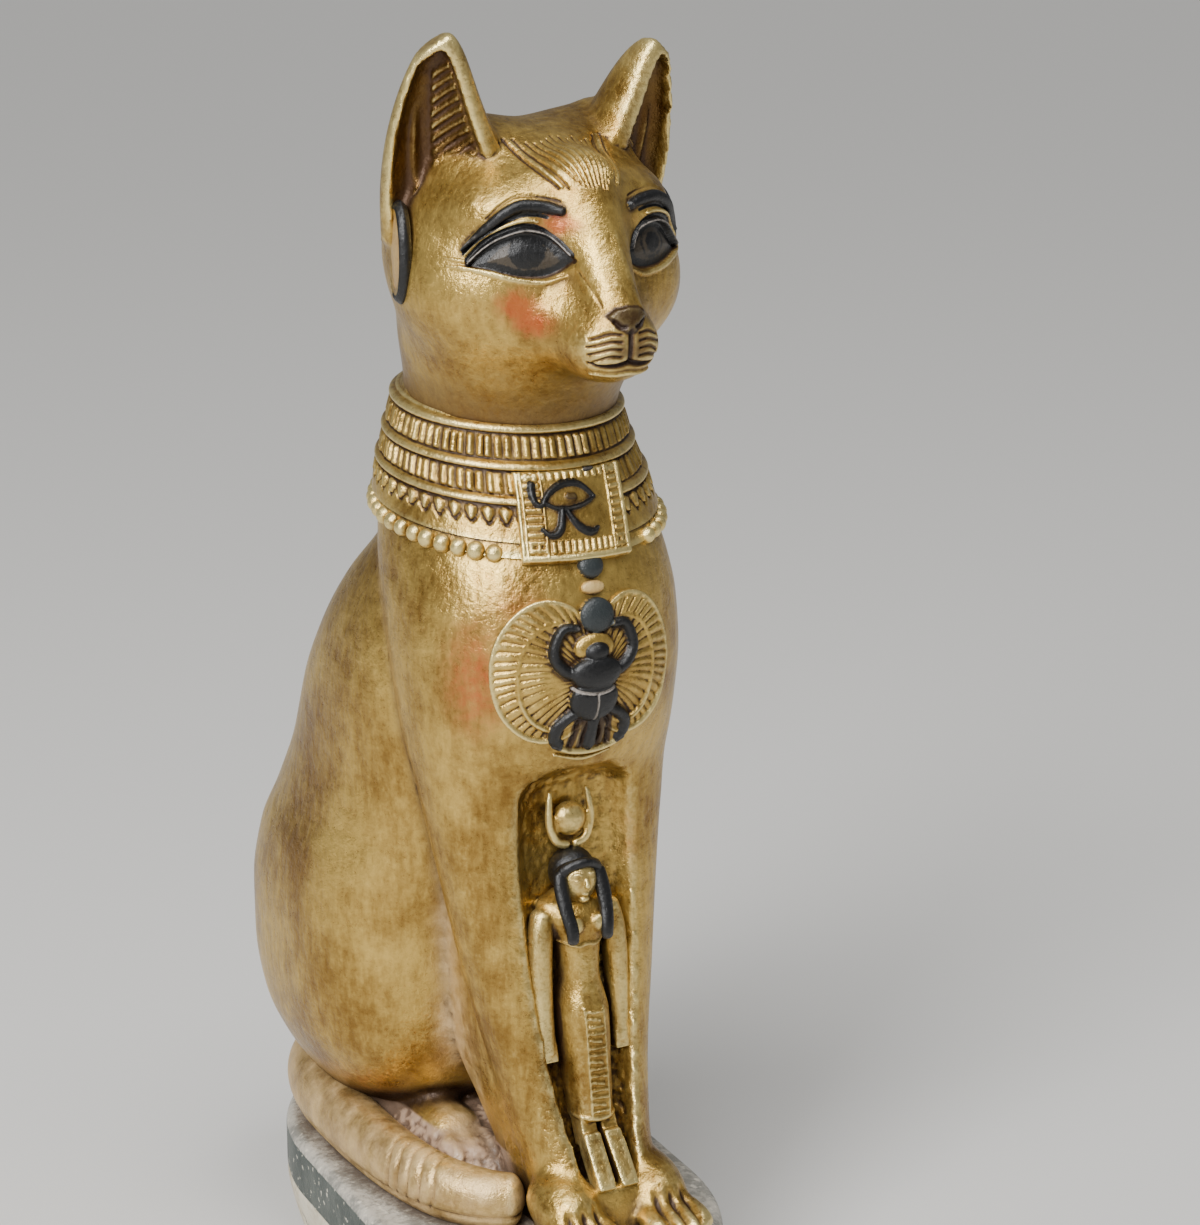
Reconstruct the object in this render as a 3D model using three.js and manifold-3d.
// Seated Bastet cat, a painted casting in one piece with its plinth.
// Millimetres, +Z up. The cat looks along -Y, and the origin is under the middle of the whole.
import * as THREE from 'three';
import { mergeVertices } from 'three/addons/utils/BufferGeometryUtils.js';
import Module from 'manifold-3d';

// Driving dimensions, in millimetres and degrees
const plinthLength = 137;
const plinthWidth = 72;
const plinthHeight = 30;
const plinthStraight = 45;
const rimRound = 2.4;
const bandHeight = 9.5;
const footInset = 5;
const figureHeight = 240;
const figureTurn = 5;
const figureAside = 2.5;
const figureForward = 4.5;
const figureSink = 2;
const collarThickness = 1.9;
const plaqueThickness = 2;
const reliefDepth = 1.5;
const earWall = 2.6;
const leftEarDrop = 3;
const goldColour = 0xb49a5c;

// The figure is laid out on a canon of 240 parts from its paws to the tips of its ears.
const canon = 240;
const part = figureHeight / canon;

// Sizes of the relief in parts of the canon
const collarLift = collarThickness / part;
const plaqueLift = (collarThickness + plaqueThickness) / part;
const reliefLift = reliefDepth / part;
const earShell = earWall / part;
const hiddenRoot = 2;

const wasm = await Module();
wasm.setup();

// A closed geometry as a solid.
function solidOf(geometry) {
  const bare = geometry.index ? geometry.toNonIndexed() : geometry.clone();
  const position = bare.getAttribute('position');
  const merged = mergeVertices(new THREE.BufferGeometry().setAttribute('position', position), 1e-4);
  const mesh = new wasm.Mesh({
    numProp: 3,
    vertProperties: merged.attributes.position.array,
    triVerts: new Uint32Array(merged.index.array),
  });
  return new wasm.Manifold(mesh);
}

function geometryOf(solid) {
  const mesh = solid.getMesh();
  const geometry = new THREE.BufferGeometry();
  geometry.setAttribute('position', new THREE.BufferAttribute(new Float32Array(mesh.vertProperties), 3));
  geometry.setIndex(new THREE.BufferAttribute(new Uint32Array(mesh.triVerts), 1));
  return geometry;
}

function join(solids) {
  return solids.reduce((whole, piece) => whole.add(piece));
}

function centreOf(ring) {
  return ring.reduce((sum, point) => sum.add(point), new THREE.Vector3()).divideScalar(ring.length);
}

// Skin over rings of points with the same number of points each. The ends are closed by fans that meet
// at the tips, or the last ring is sewn to the first one when the skin is a closed loop.
function skin(rings, { isLoop = false, tips = [rings[0], rings[rings.length - 1]].map(centreOf) } = {}) {
  const count = rings[0].length;
  const points = rings.flat();
  const faces = [];
  const spans = isLoop ? rings.length : rings.length - 1;
  for (let i = 0; i < spans; i++) {
    const low = i * count;
    const high = ((i + 1) % rings.length) * count;
    for (let j = 0; j < count; j++) {
      const k = (j + 1) % count;
      faces.push([low + j, low + k, high + k], [low + j, high + k, high + j]);
    }
  }
  if (!isLoop) {
    const first = points.push(tips[0]) - 1;
    const last = points.push(tips[1]) - 1;
    const top = (rings.length - 1) * count;
    for (let j = 0; j < count; j++) {
      const k = (j + 1) % count;
      faces.push([k, j, first], [top + j, top + k, last]);
    }
  }
  let volume = 0;
  for (const [a, b, c] of faces) {
    volume += points[a].dot(points[b].clone().cross(points[c]));
  }
  const indices = volume > 0 ? faces.flat() : faces.map(([a, b, c]) => [a, c, b]).flat();
  const geometry = new THREE.BufferGeometry().setFromPoints(points);
  geometry.setIndex(indices);
  return solidOf(geometry);
}

// Smooth course of a row of values between stations, by cubic pieces with limited slopes.
function course(stations, at) {
  const last = stations.length - 1;
  if (at <= stations[0][0]) return stations[0];
  if (at >= stations[last][0]) return stations[last];
  let i = 0;
  while (stations[i + 1][0] < at) i++;
  const span = stations[i + 1][0] - stations[i][0];
  const t = (at - stations[i][0]) / span;
  const slope = (k, column) => {
    if (k === 0 || k === last) return 0;
    const before = (stations[k][column] - stations[k - 1][column]) / (stations[k][0] - stations[k - 1][0]);
    const after = (stations[k + 1][column] - stations[k][column]) / (stations[k + 1][0] - stations[k][0]);
    return before * after <= 0 ? 0 : 2 * before * after / (before + after);
  };
  return stations[i].map((value, column) => {
    if (column === 0) return at;
    const next = stations[i + 1][column];
    const start = slope(i, column) * span;
    const end = slope(i + 1, column) * span;
    return value * (1 + 2 * t) * (1 - t) ** 2 + start * t * (1 - t) ** 2
      + next * t * t * (3 - 2 * t) + end * t * t * (t - 1);
  });
}

function range(from, to, steps) {
  return Array.from({ length: steps + 1 }, (_, i) => from + (to - from) * i / steps);
}

// Angles once around, half a step off the axes
function turns(count) {
  return Array.from({ length: count }, (_, j) => 2 * Math.PI * (j + 0.5) / count);
}

// Level section with its own depth before and behind its widest line.
// A station is: height, front, widest line, back, half width, squareness.
function section([height, front, widest, back, halfWidth, power], count) {
  return turns(count).map((angle) => {
    const across = Math.cos(angle);
    const along = Math.sin(angle);
    const depth = along < 0 ? widest - front : back - widest;
    return new THREE.Vector3(
      halfWidth * Math.sign(across) * Math.abs(across) ** (2 / power),
      widest + depth * Math.sign(along) * Math.abs(along) ** (2 / power),
      height,
    );
  });
}

function loft(stations, levels, count) {
  return skin(levels.map((level) => section(course(stations, level), count)));
}

// Stations of the body, in parts of the canon
const chestStations = [
  [-3, -46, -34, -24, 12.5, 2.4],
  [5, -45, -34, -23, 12.5, 2.4],
  [12, -43, -32, -20, 13, 2.4],
  [20, -39, -28, -17, 14.4, 2.4],
  [36, -34, -22.5, -12, 17.4, 2.4],
  [50, -31.5, -19, -8, 20.2, 2.4],
  [66, -29, -16, -4, 22.8, 2.4],
  [83, -27.2, -13, -1, 25.6, 2.4],
  [92, -27.6, -11.5, 2, 27, 2.3],
  [100, -31, -10, 5, 28.4, 2.2],
  [108, -34.2, -9, 8, 29.4, 2.1],
  [118, -35.9, -8, 12, 30, 2.1],
  [128, -35.2, -6.5, 18, 29.8, 2.1],
  [135, -33.4, -4.5, 22, 29, 2.1],
  [142, -30.6, -2.5, 25, 28, 2],
  [150, -27, 0, 26, 26.6, 2],
  [160, -22, 2, 25, 23.6, 2],
  [176, -18, 2, 23, 20, 2],
];
const haunchStations = [
  [-3, 19, 34, 55, 19, 2.3],
  [6, 16, 33, 57, 21.5, 2.3],
  [13, 9, 32, 62, 27.5, 2.4],
  [20, 3, 31, 67, 32.6, 2.5],
  [30, -1, 30, 71, 36.8, 2.6],
  [42, -3, 30, 73, 38.4, 2.6],
  [54, -4, 30, 73, 38.5, 2.6],
  [67, -6, 29, 70, 37.2, 2.6],
  [77, -8, 26, 66, 34.6, 2.5],
  [90, -12, 22, 60, 32.8, 2.4],
  [103, -15, 18, 54, 32.6, 2.4],
  [116, -17, 14, 47, 31, 2.3],
  [127, -18, 11, 39.5, 27.6, 2.2],
  [136, -18, 7, 31.5, 23.4, 2.1],
  [146, -16, 4, 24, 20, 2],
];
const webStations = [
  [-3, -36, -26, -16, 10.5, 3],
  [10, -34, -22, -9, 12, 3],
  [20, -30, -16, -2, 13.5, 3],
  [30, -26, -10, 6, 15.2, 3],
  [50, -22, -6, 10, 17, 3],
  [74, -20, -4, 12, 18.8, 3],
  [96, -16, -3, 12, 20, 3],
];

// Depth of the chest's front surface at a place on it
function chestFront(x, height) {
  const [, front, widest, , halfWidth, power] = course(chestStations, height);
  const share = Math.min(1, Math.abs(x) / halfWidth);
  return widest - (widest - front) * (1 - share ** power) ** (1 / power);
}

function haunchBack(x, height) {
  const [, , widest, back, halfWidth, power] = course(haunchStations, height);
  const share = Math.min(1, Math.abs(x) / halfWidth);
  return widest + (back - widest) * (1 - share ** power) ** (1 / power);
}

function body() {
  const chest = loft(chestStations, [-3, 6, 14, 24, 36, 60, 82, ...range(91, 138, 5), 149, 160], 22);
  const haunches = loft(haunchStations, [-3, 6, 13, 20, 28, ...range(38, 146, 8)], 24);
  const web = loft(webStations, range(-3, 90, 4), 10);
  return join([haunches, web, chest]);
}

// Tube along places with a radius at each, round in section and pointed bluntly at its ends
function tube(places, radii, sides, flat = 1) {
  const points = places.map((place) => new THREE.Vector3(...place));
  const last = points.length - 1;
  const heading = points.map((_, i) => {
    const before = points[Math.max(i - 1, 0)];
    const after = points[Math.min(i + 1, last)];
    return after.clone().sub(before).normalize();
  });
  const side = Math.abs(heading[0].x) > 0.8 ? new THREE.Vector3(0, 0, 1) : new THREE.Vector3(1, 0, 0);
  const rings = points.map((point, i) => {
    const across = side.clone().addScaledVector(heading[i], -side.dot(heading[i])).normalize();
    const over = heading[i].clone().cross(across);
    return turns(sides).map((angle) => point.clone()
      .addScaledVector(across, radii[i] * Math.cos(angle))
      .addScaledVector(over, flat * radii[i] * Math.sin(angle)));
  });
  const bluntness = 0.7;
  const tips = [
    points[0].clone().addScaledVector(heading[0], -bluntness * radii[0]),
    points[last].clone().addScaledVector(heading[last], bluntness * radii[last]),
  ];
  return skin(rings, { tips });
}

function ball(centre, radii, across = 10, down = 6) {
  const geometry = new THREE.SphereGeometry(1, across, down);
  geometry.scale(...radii).translate(...centre);
  return solidOf(geometry);
}

// Masses of the head, each an ellipsoid: centre, then radii, in parts
const headMasses = [
  [0, -7, 197, 28.4, 27, 25],
  [0, -5, 180, 23.5, 24, 17],
  [14, -13, 190.5, 14, 17, 13.5],
  [-14, -13, 190.5, 14, 17, 13.5],
  [0, -20, 186, 16, 19, 11],
  [0, -31, 185.4, 9, 13, 7.4],
  [3.6, -41, 182.8, 4.8, 6.2, 4.4],
  [-3.6, -41, 182.8, 4.8, 6.2, 4.4],
  [0, -38, 179.4, 5.6, 6.6, 3.4],
  [12, -20, 206.5, 10, 10.5, 6.5],
  [-12, -20, 206.5, 10, 10.5, 6.5],
];
const noseBridge = { from: [0, -27, 210], to: [0, -42.6, 188.6], fromRadius: 8, toRadius: 4.4 };
const neckBone = { from: [0, 2, 150], to: [0, -3, 190], fromRadius: 22.4, toRadius: 20 };
const headBlend = 5;

function ellipsoidGap(point, [cx, cy, cz, rx, ry, rz]) {
  const local = new THREE.Vector3(point.x - cx, point.y - cy, point.z - cz);
  const scaled = new THREE.Vector3(local.x / rx, local.y / ry, local.z / rz);
  const steep = new THREE.Vector3(scaled.x / rx, scaled.y / ry, scaled.z / rz);
  const reach = scaled.length();
  return reach * (reach - 1) / Math.max(steep.length(), 1e-9);
}

function boneGap(point, { from, to, fromRadius, toRadius }) {
  const start = new THREE.Vector3(...from);
  const axis = new THREE.Vector3(...to).sub(start);
  const local = point.clone().sub(start);
  const t = THREE.MathUtils.clamp(local.dot(axis) / axis.lengthSq(), 0, 1);
  return local.addScaledVector(axis, -t).length() - fromRadius - (toRadius - fromRadius) * t;
}

function smoothLeast(a, b, width) {
  const share = Math.max(width - Math.abs(a - b), 0) / width;
  return Math.min(a, b) - share * share * width / 4;
}

function headGap(point) {
  let gap = boneGap(point, neckBone);
  gap = smoothLeast(gap, boneGap(point, noseBridge), headBlend);
  for (const mass of headMasses) gap = smoothLeast(gap, ellipsoidGap(point, mass), headBlend);
  return gap;
}

// Last crossing of the head's surface from a start along a direction
function headSurface(start, direction) {
  const step = 0.7;
  let reach = 60;
  const at = (distance) => headGap(start.clone().addScaledVector(direction, distance));
  while (reach > step && at(reach) > 0) reach -= step;
  let inside = reach;
  let outside = reach + step;
  for (let i = 0; i < 12; i++) {
    const middle = (inside + outside) / 2;
    if (at(middle) > 0) outside = middle;
    else inside = middle;
  }
  return start.clone().addScaledVector(direction, inside);
}

// Depth of the face at a place seen from the front
function faceFront(x, height) {
  return headSurface(new THREE.Vector3(x, -5, height), new THREE.Vector3(0, -1, 0)).y;
}

// Head and neck: rings of directions that look down under the chin, and then up to the crown
const neckRoot = 156;
const headCentre = 194;
const chinLook = -50;
const crownLook = 78;
function head() {
  const crowding = 0.3;
  const neckRings = range(0, 1, 3).map((t) => [neckRoot + (headCentre - neckRoot) * t, chinLook * t]);
  const headRings = range(chinLook, crownLook, 15).slice(1).map((elevation) => [headCentre, elevation]);
  const rings = [...neckRings, ...headRings].map(([height, elevation]) => {
    const start = new THREE.Vector3(0, -10, height);
    return turns(30).map((even) => {
      const turn = even + crowding * Math.sin(even);
      const frontness = (1 - Math.cos(turn)) / 2;
      const levelled = elevation < 0 ? elevation * (0.25 + 0.75 * frontness) : elevation;
      const lift = THREE.MathUtils.degToRad(levelled);
      const direction = new THREE.Vector3(
        Math.cos(lift) * Math.sin(turn), Math.cos(lift) * Math.cos(turn), Math.sin(lift));
      return headSurface(start, direction);
    });
  });
  return skin(rings);
}

// Ear: a leaf-shaped cone, hollowed from the front, whose foot runs down the side of the head
const earFoot = new THREE.Vector3(19, -10.5, 205);
const earTip = new THREE.Vector3(25, -17, 239.6);
const earSpread = new THREE.Vector3(17, 14, -15).normalize();
const earHalfWidth = 15.5;
const earCurve = 2.2;
const earRoot = -0.22;
function ear(side, drop) {
  const foot = earFoot.clone().setX(side * earFoot.x);
  const tip = earTip.clone().setX(side * earTip.x).setZ(earTip.z - drop / part);
  const spread = earSpread.clone().setX(side * earSpread.x);
  const axis = tip.clone().sub(foot);
  const facing = axis.clone().cross(spread).normalize();
  if (facing.y > 0) facing.negate();
  const leaf = (halfWidth, forward, base, end) => skin(range(base, end, 5).map((t) => {
    const width = halfWidth * (1 - t) ** 0.64 * (1 + 0.1 * t);
    const centre = foot.clone().addScaledVector(axis, t)
      .addScaledVector(facing, forward * (1 - t))
      .addScaledVector(spread, earCurve * Math.sin(Math.PI * Math.max(0, t)));
    return turns(10).map((angle) => {
      const depth = Math.sin(angle) > 0 ? 0.4 : 0.75;
      return centre.clone()
        .addScaledVector(spread, width * Math.cos(angle))
        .addScaledVector(facing, depth * width * Math.sin(angle));
    });
  }));
  const hollow = leaf(earHalfWidth - earShell, 2.1 * earShell, 0.03, 0.9);
  return leaf(earHalfWidth, 0, earRoot, 0.985).subtract(hollow);
}

// Raised line on the face through places seen from the front
function faceLine(places, radii) {
  return tube(places.map(([x, height]) => [x, faceFront(x, height), height]), radii, 5);
}

// Almond eye with an upper lid line, and the long brow above it
const eyeLoop = [[6.4, 197.6], [9.4, 200.6], [13.4, 202], [17.6, 201.2], [22.6, 197.8], [18, 195.6],
  [13.4, 194.8], [9.4, 195.8]];
const lidLine = [[6, 197.6], [9, 201.6], [13.6, 203.4], [18.4, 202.2], [23.2, 198.6]];
const browLine = [[7.4, 207.6], [12, 209.4], [17.6, 208.2], [22.4, 204], [24.8, 199.6]];
function eye(side) {
  const mirrored = (places) => places.map(([x, height]) => [side * x, height]);
  const eyeball = slab([side * 14.4, 198.2], mirrored(eyeLoop), [[1, 0.3], [0.6, 1]], faceFront, -1, 1);
  const lid = faceLine(mirrored(lidLine), [0.7, 0.9, 0.9, 0.9, 0.5]);
  const brow = faceLine(mirrored(browLine), [1.1, 1.3, 1.3, 1.1, 0.6]);
  return join([eyeball, lid, brow]);
}

function noseTip() {
  return ball([0, -46, 188], [3, 2.4, 2], 8, 4);
}

// Earring: a flat oval drop below the ear
const earringHalfWidth = 4;
function earring(side) {
  const drop = [[side * 26.8, -6.2, 200.5], [side * 27, -5.6, 195], [side * 27, -5, 189.5]];
  const radii = [0.75, 1, 0.75].map((share) => share * earringHalfWidth);
  const flatness = 0.5;
  return tube(drop, radii, 8, flatness);
}

// Slab on a surface, whose edge is a loop of places around a middle place, seen square on.
// Its rings go inwards from the edge, each at a share of the way and of the thickness.
function slab(middle, loop, rings, surface, outward, thickness) {
  const ringAt = (share, lift) => loop.map((place) => {
    const [x, height] = place.map((value, i) => middle[i] + (value - middle[i]) * share);
    return new THREE.Vector3(x, surface(x, height) + outward * lift, height);
  });
  return skin([ringAt(1, -hiddenRoot), ...rings.map(([share, lift]) => ringAt(share, lift * thickness))]);
}

function oval(middle, halfWidth, halfHeight, count) {
  return turns(count).map((angle) => [
    middle[0] + halfWidth * Math.cos(angle),
    middle[1] + halfHeight * Math.sin(angle),
  ]);
}

// Broad collar with raised rings, higher behind than before
const collarTopFront = 163.5;
const collarTopBack = 169;
const collarFootFront = 139.5;
const collarFootBack = 148;
const collarRidges = [[0, 0.8], [0.07, 1], [0.13, 0.55], [0.3, 0.55], [0.36, 1], [0.43, 0.55], [0.62, 0.55],
  [0.68, 1], [0.75, 0.6], [0.94, 0.7], [1, 1.2], [1.05, 0.7]];
function collarPoint(angle, share, lift) {
  const backness = (1 + Math.sin(angle)) / 2;
  const top = collarTopFront + (collarTopBack - collarTopFront) * backness;
  const foot = collarFootFront + (collarFootBack - collarFootFront) * backness;
  const height = top + (foot - top) * share;
  const [, front, widest, back, halfWidth, power] = course(chestStations, height);
  const across = Math.cos(angle);
  const along = Math.sin(angle);
  const depth = along < 0 ? widest - front : back - widest;
  return new THREE.Vector3(
    (halfWidth + lift) * Math.sign(across) * Math.abs(across) ** (2 / power),
    widest + (depth + lift) * Math.sign(along) * Math.abs(along) ** (2 / power),
    height,
  );
}

function collar() {
  const rings = collarRidges.map(([share, lift]) => turns(28).map(
    (angle) => collarPoint(angle, share, lift * collarLift)));
  const inner = turns(28).map((angle) => collarPoint(angle, 0.5, -2 * hiddenRoot));
  return skin([...rings, inner], { isLoop: true });
}

// Plaque on the front of the collar, with a border around a sunk field
const plaqueMiddle = [-2.8, 149.6];
const plaqueCorners = [[-16.4, 141.5], [10.8, 141], [9.2, 158], [-14.8, 158]];
function plaque() {
  const loop = plaqueCorners.flatMap((corner, i) => {
    const next = plaqueCorners[(i + 1) % plaqueCorners.length];
    return [0, 1, 2].map((step) => corner.map((value, j) => value + (next[j] - value) * step / 3));
  });
  return slab(plaqueMiddle, loop, [[1, 1], [0.86, 1], [0.8, 0.72], [0.4, 0.72]], chestFront, -1, plaqueLift);
}

// Winged scarab on the chest: two curled wings, the beetle, its base and the discs above
const wingMiddle = [9.6, 119.5];
const beetleMasses = [
  [114.4, 1, 4.9, 3.4, 6.6, 8, 4],
  [120.6, 1, 4.3, 3.1, 3.4, 6, 4],
  [124, 0.8, 2.8, 2.6, 2.2, 6, 4],
];
const footingLoop = [[-6.6, 101.5], [0, 101.2], [6.6, 101.5], [4.4, 108.5], [-4.4, 108.5]];
const forelegLine = [[3.6, 119], [6.8, 122.5], [6.2, 127], [3.4, 129]];
function scarab() {
  const onChest = (middle, loop, rings, lift) => slab(middle, loop, rings, chestFront, -1, lift);
  const wings = [-1, 1].map((side) => {
    const middle = [side * wingMiddle[0], wingMiddle[1]];
    return onChest(middle, oval(middle, 10.6, 13.6, 14), [[1, 0.5], [0.94, 1], [0.86, 0.6]], reliefLift);
  });
  const beetle = beetleMasses.map(([height, sunk, rx, ry, rz, across, down]) => ball(
    [0, chestFront(0, height) - sunk, height], [rx, ry, rz], across, down));
  const legs = [-1, 1].map((side) => tube(
    forelegLine.map(([x, height]) => [side * x, chestFront(x, height) - 0.9, height]), [1, 1, 1, 1], 5));
  return join([
    ...wings,
    ...beetle,
    ...legs,
    onChest([0, 105], footingLoop, [[1, 1], [0.5, 1.2]], 1.3 * reliefLift),
    onChest([0, 129.6], oval([0, 129.6], 3.2, 3.2, 12), [[1, 0.8], [0.7, 1.2]], reliefLift),
    onChest([0, 137.6], oval([0, 137.6], 2.3, 2.3, 10), [[1, 0.8], [0.6, 1.2]], reliefLift),
  ]);
}

// Recess between the front legs, with an arched top, and the small goddess that stands in it
const recessStations = [
  [12, -60, -40, -33, 6.2, 4],
  [26, -60, -40, -29.5, 8.4, 4],
  [40, -60, -40, -26.5, 10.8, 4],
  [60, -60, -40, -23.5, 13.2, 4],
  [80, -60, -40, -21.5, 14.2, 4],
  [90, -60, -40, -21, 14, 4],
  [94, -60, -40, -23, 12, 4],
  [96, -60, -40, -26, 8, 4],
];
function recess() {
  return loft(recessStations, [...range(12, 90, 4), 94, 96], 16);
}

const goddessStations = [
  [23.5, -36.2, -30, -24, 5.2, 2.6],
  [34, -35, -29, -22, 5.7, 2.4],
  [45, -33.6, -27, -21, 5.8, 2.2],
  [53, -31.8, -26, -20, 4.2, 2.2],
  [64, -31.2, -25, -18, 7, 2.2],
  [67.5, -29, -24, -18, 8, 2.2],
  [69, -27.5, -24, -18, 4, 2.2],
];
function goddess() {
  const levels = goddessStations.map(([height]) => height);
  const sun = slab([0, 83.8], oval([0, 83.8], 3, 3, 10), [[1, 1], [0.6, 1.2]], () => -21, -1, 3.6);
  const pairs = [-1, 1].flatMap((side) => {
    const lappet = [[3.6, -28.4, 76], [3.9, -30.4, 71], [3.9, -31.4, 61]];
    const arm = [[7.4, -26, 66], [8, -27.4, 52], [8, -28.6, 37]];
    const leg = [[2.3, -32.5, 26], [2.3, -35, 12], [2.3, -40, 10.6]];
    const horn = [[0.6, -22.2, 78.4], [3.4, -22.2, 80], [4.5, -22.2, 84], [4.3, -22.2, 90]];
    const placed = (places) => places.map(([x, y, height]) => [side * x, y, height]);
    return [
      tube(placed(lappet), [1.3, 1.6, 1.6], 5),
      tube(placed(arm), [2.2, 2, 1.9], 5, 1.5),
      tube(placed(leg), [2.1, 2, 1.7], 5, 1.4),
      tube(placed(horn), [1.1, 1.1, 1, 0.8], 5, 1.6),
    ];
  });
  return join([
    loft(goddessStations, levels, 10),
    ball([0, -25, 72.4], [5, 4.6, 5.2], 8, 6),
    ball([0, -27.4, 71.6], [3, 2.9, 3.9], 8, 5),
    sun,
    ...pairs,
  ]);
}

// Front paw with its toes
const pawMiddle = 10;
function frontPaw(side) {
  const middle = side * pawMiddle;
  const arch = tube([[middle, -32, 9], [middle, -40, 7.6], [middle, -47, 4.6]], [5.6, 6.6, 5], 8);
  const toes = [-4.6, -1.6, 1.6, 4.6].map((across) => {
    const isOuter = Math.abs(across) > 3;
    const tip = isOuter ? -51 : -52.6;
    const end = middle + across;
    const toe = [[middle + across * 0.85, -44, 5.4], [end, tip, 3.2], [end, tip - 2, 2.6]];
    return tube(toe, [2.8, 2.7, 1.7], 5);
  });
  return join([arch, ...toes]);
}

// Low masses on the plinth: the step between the front paws, the hind paws and the rough filling
function lowMasses() {
  const step = tube([[-7, -37, 3], [0, -38, 4], [7, -37, 3]], [5.6, 6.6, 5.6], 8);
  const hindPaws = [-1, 1].flatMap((side) => {
    const paw = [[side * 14, 26, 6], [side * 13, 12, 6], [side * 12.4, 2, 4.6]];
    const toes = [-2.4, 2.4].map((across) => tube(
      [[side * 12.4 + across, 4, 4.6], [side * 12 + across, -2.6, 3.2]], [2.9, 2.4], 6));
    return [tube(paw, [6, 6.2, 4.8], 8), ...toes];
  });
  const filling = [-1, 1].map((side) => ball([side * 17, 18, 0], [13, 34, 6.5], 8, 4));
  return join([step, ...hindPaws, ...filling]);
}

// Tail: out from under the rump, along the right side, and to a blunt tip beside the front paw
const tailPath = [[8, 46, 13], [3, 60, 9], [-8, 63.5, 7], [-19, 57, 7], [-25.5, 42, 7], [-27.8, 20, 6.8],
  [-27.6, 0, 6.4], [-25, -14, 6], [-19.5, -22.5, 5.4], [-13, -27, 5]];
const tailHalfWidth = 8;
const tailHalfHeight = 6.6;
const tailTaper = 0.22;
const tailRounding = 0.15;
function tail() {
  const curve = new THREE.CatmullRomCurve3(tailPath.map((point) => new THREE.Vector3(...point)));
  const upright = new THREE.Vector3(0, 0, 1);
  const rings = [...range(0, 1 - tailRounding, 12), 0.92, 0.97, 0.995].map((t) => {
    const centre = curve.getPoint(t);
    const along = curve.getTangent(t);
    const across = new THREE.Vector3(along.y, -along.x, 0).normalize();
    const rounded = Math.max(0, (t - 1 + tailRounding) / tailRounding);
    const girth = (1 - tailTaper * t) * Math.sqrt(1 - rounded ** 2);
    return turns(8).map((angle) => centre.clone()
      .addScaledVector(across, tailHalfWidth * girth * Math.cos(angle))
      .addScaledVector(upright, tailHalfHeight * girth * Math.sin(angle)));
  });
  return skin(rings);
}

// Raised oval on the back, with a disc between two lowered wings
const ovalMiddle = [0, 48];
const ovalWing = [[3, 52], [9, 59], [17, 57], [21, 48], [19, 38], [12, 33], [12.5, 42], [6, 46]];
function backOval() {
  const onBack = (middle, loop, rings) => slab(middle, loop, rings, haunchBack, 1, reliefLift);
  const wings = [-1, 1].map((side) => onBack(
    [side * 13.5, 49], ovalWing.map(([x, height]) => [side * x, height]), [[1, 0.9], [0.6, 1.25]]));
  return join([
    onBack(ovalMiddle, oval(ovalMiddle, 25, 21, 16), [[1, 0.5], [0.95, 1], [0.88, 0.5]]),
    onBack([0, 58], oval([0, 58], 4.4, 4.4, 10), [[1, 1], [0.6, 1.3]]),
    ...wings,
  ]);
}

// Plinth: long sides straight, ends half ovals, wall upright below a rounded rim, then drawn in to the foot
function plinthRing(height, inset) {
  const halfWidth = plinthWidth / 2 - inset;
  const end = (plinthLength - plinthStraight) / 2 - inset;
  return turns(28).map((angle) => {
    const along = Math.sin(angle);
    const beyond = Math.sign(along) * plinthStraight / 2;
    return new THREE.Vector3(halfWidth * Math.cos(angle), beyond + end * along, height);
  });
}

function plinth() {
  const bandFoot = plinthHeight - rimRound - bandHeight;
  const rim = range(0, Math.PI / 2, 3).map((angle) => plinthRing(
    plinthHeight - rimRound * (1 - Math.cos(angle)), rimRound * (1 - Math.sin(angle))));
  const wall = range(0, 1, 2).map((t) => plinthRing(bandFoot * (1 - t), footInset * t ** 1.4));
  return skin([...rim, ...wall]);
}

const figure = join([
  join([body(), head(), collar()]).subtract(recess()),
  ear(-1, 0),
  ear(1, leftEarDrop),
  eye(-1),
  eye(1),
  noseTip(),
  earring(-1),
  earring(1),
  plaque(),
  scarab(),
  goddess(),
  frontPaw(-1),
  frontPaw(1),
  lowMasses(),
  tail(),
  backOval(),
]);

const figureGeometry = geometryOf(figure);
figureGeometry.scale(part, part, part);
figureGeometry.rotateZ(THREE.MathUtils.degToRad(figureTurn));
figureGeometry.translate(figureAside, -figureForward, plinthHeight);
const underside = new THREE.BoxGeometry(4 * figureHeight, 4 * figureHeight, 2 * plinthHeight);
underside.translate(0, 0, -figureSink);
const whole = solidOf(figureGeometry).subtract(solidOf(underside)).add(plinth());

const catGeometry = geometryOf(whole);
catGeometry.computeBoundingBox();
const centre = catGeometry.boundingBox.getCenter(new THREE.Vector3());
catGeometry.translate(-centre.x, -centre.y, 0);

const gold = new THREE.MeshStandardMaterial({ color: goldColour, roughness: 0.42, metalness: 0.6 });
const cat = new THREE.Mesh(catGeometry, gold);
cat.name = 'cat_figure';
const figureGroup = new THREE.Group();
figureGroup.add(cat);
export default figureGroup;
